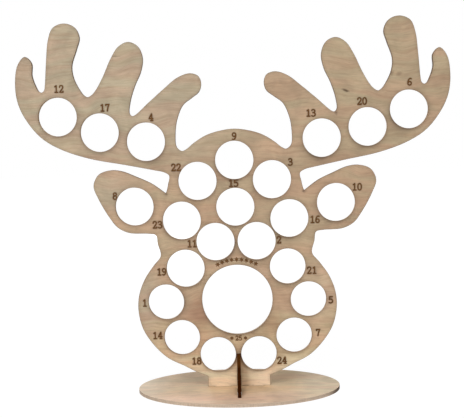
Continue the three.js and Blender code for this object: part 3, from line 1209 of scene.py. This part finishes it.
class CALENDAR_OT_head_panel(bpy.types.Operator):
    """Make the head panel with its holes, numbers, grain and burnt edges"""

    bl_idname = "calendar.head_panel"
    bl_label = "Head Panel"

    def execute(self, context):
        sheet, head = context.scene.calendar_sheet, context.scene.calendar_head
        thickness, table = HEAD_HIGH.y - HEAD_LOW.y, BASE_HIGH.z
        holes = head_holes(head)
        lines = head_lines(head, holes)
        rings = []
        for middle, size, number in holes:
            rings.append(ring(middle, size / 2, TREAT_STEPS if number == TREAT_NUMBER else HOLE_STEPS))
        marks = [stroke_shape(line, width) for line, width in lines]
        smoke_and_shadow = Smoke(lines, holes, head)
        panel = Sheet(
            self.outline(sheet, head, table), rings, marks, thickness, sheet.corner, head.engraving_depth,
            (1, 0, 0), (0, 0, 1), (0, (HEAD_LOW.y + HEAD_HIGH.y) / 2, table),
            smoke_and_shadow.halo_points() + burn_points(holes),
        )

        def scorch(spot, in_front):
            """The web over the brace is dark, and the darkening runs down along both rims."""
            rise, across = spot.y - WEB_DARK_HEIGHT, abs(spot.x)
            if rise > -RUN_DROP:
                return WEB_DARK_STRENGTH * fade(abs(rise), *WEB_DARK_FADE) * fade(across, *WEB_DARK_SIDES)
            run = math.exp((rise + RUN_DROP) / RUN_LENGTH - panel.gap_to_edge(spot) / RUN_WIDTH)
            return RUN_STRENGTH * run * fade(across, *RUN_SIDES)

        stains = {"soot": smoke_and_shadow.amount, "gap": panel.gap_to_edge, "scorch": scorch}
        mesh = panel.build("reindeer_head", stains)
        materials = [
            face_material("head_veneer", sheet, head_wood, head, knots=KNOTS, clouds=CLOUDS),
            edge_material("head_cut_edge", sheet.toasted, sheet.char, thickness),
            edge_material("head_hole_edge", sheet.hole_wall, sheet.toasted, thickness, burn=0.6),
            mark_material("head_engraving", head.ink),
        ]
        finish_piece("reindeer_head", mesh, materials, "head", "head_panel")
        return {"FINISHED"}

    @staticmethod
    def outline(sheet, head, table):
        """The head's outline with its foot, fitted to the CAD box."""
        pitch = head.wide_hole + head.hole_web
        right = [Vector(p) * pitch for p in HEAD_SHARES]
        right.append(Vector((head.neck_width / 2, NECK_TOP_SHARE * pitch)))
        line = smooth_line(mirrored(right[:0:-1]) + right, head.steps)
        fit_across = HEAD_HIGH.x / max(p.x for p in line)
        fit_up = (HEAD_HIGH.z - table) / max(p.y for p in line)
        line = [Vector((p.x * fit_across, p.y * fit_up)) for p in line]
        slot_half = sheet.wide_slot / 2
        inner = slot_half + head.neck_shoulder
        outer = head.neck_width / 2 - head.neck_shoulder
        foot = tab_foot(head.neck_width / 2, inner, outer, slot_half, head.slot_height, sheet.tab_depth)
        return (line + foot)[::-1]


class CALENDAR_OT_cross_brace(bpy.types.Operator):
    """Make the cross brace that holds the head panel upright"""

    bl_idname = "calendar.cross_brace"
    bl_label = "Cross Brace"

    def execute(self, context):
        sheet, brace = context.scene.calendar_sheet, context.scene.calendar_brace
        half = BRACE_HIGH.y
        slot_half = sheet.wide_slot / 2
        last = math.pi / 2 - math.asin(slot_half / half)
        steps = brace.steps // 2
        turns = [last * k / steps for k in range(steps + 1)]
        arc = [Vector((half * math.cos(a), brace.top * math.sin(a))) for a in turns]
        right = arc + [Vector((slot_half, brace.notch_floor))]
        inner = slot_half + brace.shoulder
        foot = tab_foot(half, inner, half - brace.shoulder, 0, 0, sheet.tab_depth)
        outline = right + mirrored(right[::-1]) + mirrored(foot[1:-1])
        thickness, table = BRACE_HIGH.x - BRACE_LOW.x, BASE_HIGH.z
        piece = Sheet(outline, [], [], thickness, sheet.corner, 0, (0, 1, 0), (0, 0, 1), (0, 0, table))
        soot = faint_soot(piece.gap_to_edge, *BRACE_SOOT)
        stains = {"soot": soot, "gap": piece.gap_to_edge, "scorch": unburnt}
        mesh = piece.build("brace_upright", stains)
        materials = [
            face_material("brace_veneer", sheet, plain_wood, brace, (1, 0, 2), seed=0.61),
            edge_material(
                "brace_cut_edge", brace.top_edge, brace.char, thickness, burn=0.3, turn=BRACE_TURN, gloss=0.0
            ),
        ]
        finish_piece("brace_upright", mesh, materials, "brace", "cross_brace")
        return {"FINISHED"}


class CALENDAR_OT_oval_base(bpy.types.Operator):
    """Make the oval base with the slots for the foot tabs"""

    bl_idname = "calendar.oval_base"
    bl_label = "Oval Base"

    def execute(self, context):
        sheet, head = context.scene.calendar_sheet, context.scene.calendar_head
        brace, base = context.scene.calendar_brace, context.scene.calendar_base
        turns = [2 * math.pi * k / base.steps for k in range(base.steps)]
        oval = [Vector((BASE_HIGH.x * math.cos(a), BASE_HIGH.y * math.sin(a))) for a in turns]
        half = sheet.wide_slot / 2
        play = base.clearance
        neck = (half + head.neck_shoulder - play, head.neck_width / 2 - head.neck_shoulder + play)
        foot = (half + brace.shoulder - play, BRACE_HIGH.y - brace.shoulder + play)
        slots = [slot_shape((near, -half), (far, half)) for near, far in (neck, (-neck[1], -neck[0]))]
        slots += [slot_shape((-half, near), (half, far)) for near, far in (foot, (-foot[1], -foot[0]))]
        thickness = BASE_HIGH.z - BASE_LOW.z
        piece = Sheet(
            oval, slots, [], thickness, sheet.corner, 0, (1, 0, 0), (0, 1, 0), (0, 0, thickness / 2)
        )

        def slot_gap(spot, in_front=True):
            """The oval's own edge is hardly burnt, so the thin line is left to the slots."""
            outward = math.hypot(spot.x / BASE_HIGH.x, spot.y / BASE_HIGH.y)
            return REACH if outward > CLEAN_SHARE else piece.gap_to_edge(spot)

        stains = {"soot": faint_soot(slot_gap, *BASE_SOOT), "gap": slot_gap, "scorch": unburnt}
        mesh = piece.build("base_oval", stains)
        materials = [
            face_material(
                "base_veneer", sheet, base_wood, base, (0, 2, 1), waviness=0.6, marked=0.6, tinted=0.65,
                seed=1.7,
            ),
            edge_material("base_cut_edge", base.edge, sheet.char, thickness, burn=0.1, turn=BASE_TIP),
            edge_material("base_slot_edge", sheet.toasted, sheet.char, thickness),
        ]
        finish_piece("base_oval", mesh, materials, "base", "oval_base")
        return {"FINISHED"}


class CALENDAR_OT_studio(bpy.types.Operator):
    """Make the pale floor, the soft lights, the white surroundings and the camera"""

    bl_idname = "calendar.studio"
    bl_label = "Studio"

    def execute(self, context):
        scene, studio = context.scene, context.scene.calendar_studio
        scene.view_settings.view_transform = "Standard"
        self.floor(studio)
        self.surroundings(scene, studio)
        for name, (place, aim, size) in LAMPS.items():
            self.lamp(name, place, aim, size, getattr(studio, f"{name}_power"))
        self.camera(scene, studio)
        return {"FINISHED"}

    def floor(self, studio):
        """A round floor that looks white, whiter still far off, and keeps the object's shadow."""
        corners = ring(Vector((0, 0)), FLOOR_REACH, FLOOR_STEPS)
        points = [(0.0, 0.0, 0.0)] + [(*corner, 0.0) for corner in corners]
        faces = [(0, k + 1, (k + 1) % FLOOR_STEPS + 1) for k in range(FLOOR_STEPS)]
        mesh = bpy.data.meshes.new("studio_floor")
        mesh.from_pydata(points, [], faces)
        floor = put_in_scene("studio_floor", mesh)
        floor.location.z = -FLOOR_DROP
        material = bpy.data.materials.new("studio_floor")
        tree = emptied(material)
        plain = add(tree, "ShaderNodeBsdfDiffuse", {"Color": studio.floor})
        faint = add(tree, "ShaderNodeBsdfDiffuse", {"Color": shade(studio.floor, FLOOR_SHADE)})
        glow = stretched(tree, length_of(tree, place_on_object(tree)), *GLOW_PLACES, *GLOW_STRENGTHS)
        glow = add(tree, "ShaderNodeEmission", {"Color": (1, 1, 1), "Strength": glow})
        lit = add(tree, "ShaderNodeAddShader", {0: faint.outputs[0], 1: glow.outputs[0]})
        choice = {0: self.seen(tree), 1: plain.outputs[0], 2: lit.outputs[0]}
        mix = add(tree, "ShaderNodeMixShader", choice)
        add(tree, "ShaderNodeOutputMaterial", {"Surface": mix.outputs[0]})
        mesh.materials.append(material)

    def surroundings(self, scene, studio):
        """A world that looks white and lights the object evenly from all round."""
        scene.world = bpy.data.worlds.new("studio_world")
        tree = emptied(scene.world)
        strength = stretched(tree, self.seen(tree), 0.0, 1.0, studio.sky, 1.0, soft=False)
        back = add(tree, "ShaderNodeBackground", {"Color": (1, 1, 1), "Strength": strength})
        add(tree, "ShaderNodeOutputWorld", {"Surface": back.outputs[0]})

    @staticmethod
    def seen(tree):
        """One where the camera looks straight at the surface, or sees it in a reflection or through glass."""
        path = add(tree, "ShaderNodeLightPath").outputs
        some = math_node(tree, "MAXIMUM", path["Is Camera Ray"], path["Is Glossy Ray"])
        return math_node(tree, "MAXIMUM", some, path["Is Transmission Ray"])

    @staticmethod
    def lamp(name, place, aim, size, watts):
        data = bpy.data.lights.new(name, "AREA")
        data.shape, data.size, data.energy = "DISK", size, watts
        lamp = put_in_scene(name, data)
        lamp.location = place
        lamp.rotation_euler = (Vector(aim) - lamp.location).to_track_quat("-Z", "Y").to_euler()
        lamp.visible_camera = False

    @staticmethod
    def camera(scene, studio):
        data = bpy.data.cameras.new("camera")
        data.sensor_fit, data.sensor_width, data.lens = "HORIZONTAL", SENSOR_WIDTH, studio.lens
        data.clip_start, data.clip_end = SIGHT
        view = Matrix.Translation((0, -studio.distance, studio.height))
        for angle, axis in ((-studio.yaw, "Z"), (math.pi / 2 - studio.pitch, "X"), (-studio.roll, "Z")):
            view = view @ Matrix.Rotation(angle, 4, axis)
        scene.camera = put_in_scene("camera", data)
        scene.camera.matrix_world = view


class CALENDAR_PT_pieces(bpy.types.Panel):
    """Lists the calendar's pieces and their sizes and colours"""

    bl_idname = "CALENDAR_PT_pieces"
    bl_label = "Advent Calendar"
    bl_space_type = "VIEW_3D"
    bl_region_type = "UI"
    bl_category = "Calendar"

    def draw(self, context):
        for name, group, operator in STEPS:
            box = self.layout.box()
            if operator:
                box.operator(operator.bl_idname)
            for key in group.__annotations__:
                box.prop(getattr(context.scene, name), key)


# The name of each group of settings in the scene, the group, and the operator that works from it
STEPS = [
    ("calendar_sheet", CalendarSheetSettings, None),
    ("calendar_base", CalendarBaseSettings, CALENDAR_OT_oval_base),
    ("calendar_brace", CalendarBraceSettings, CALENDAR_OT_cross_brace),
    ("calendar_head", CalendarHeadSettings, CALENDAR_OT_head_panel),
    ("calendar_studio", CalendarStudioSettings, CALENDAR_OT_studio),
]
GROUPS = [group for _, group, _ in STEPS]
OPERATORS = [operator for _, _, operator in STEPS if operator]
CLASSES = [*GROUPS, *OPERATORS, CALENDAR_PT_pieces]


def register():
    for cls in CLASSES:
        bpy.utils.register_class(cls)
    for name, group, _ in STEPS:
        setattr(bpy.types.Scene, name, PointerProperty(type=group))


def unregister():
    for name, _, _ in STEPS:
        delattr(bpy.types.Scene, name)
    for cls in reversed(CLASSES):
        bpy.utils.unregister_class(cls)


def main():
    register()
    bpy.ops.calendar.oval_base()
    bpy.ops.calendar.cross_brace()
    bpy.ops.calendar.head_panel()
    bpy.ops.calendar.studio()


if __name__ == "__main__":
    main()
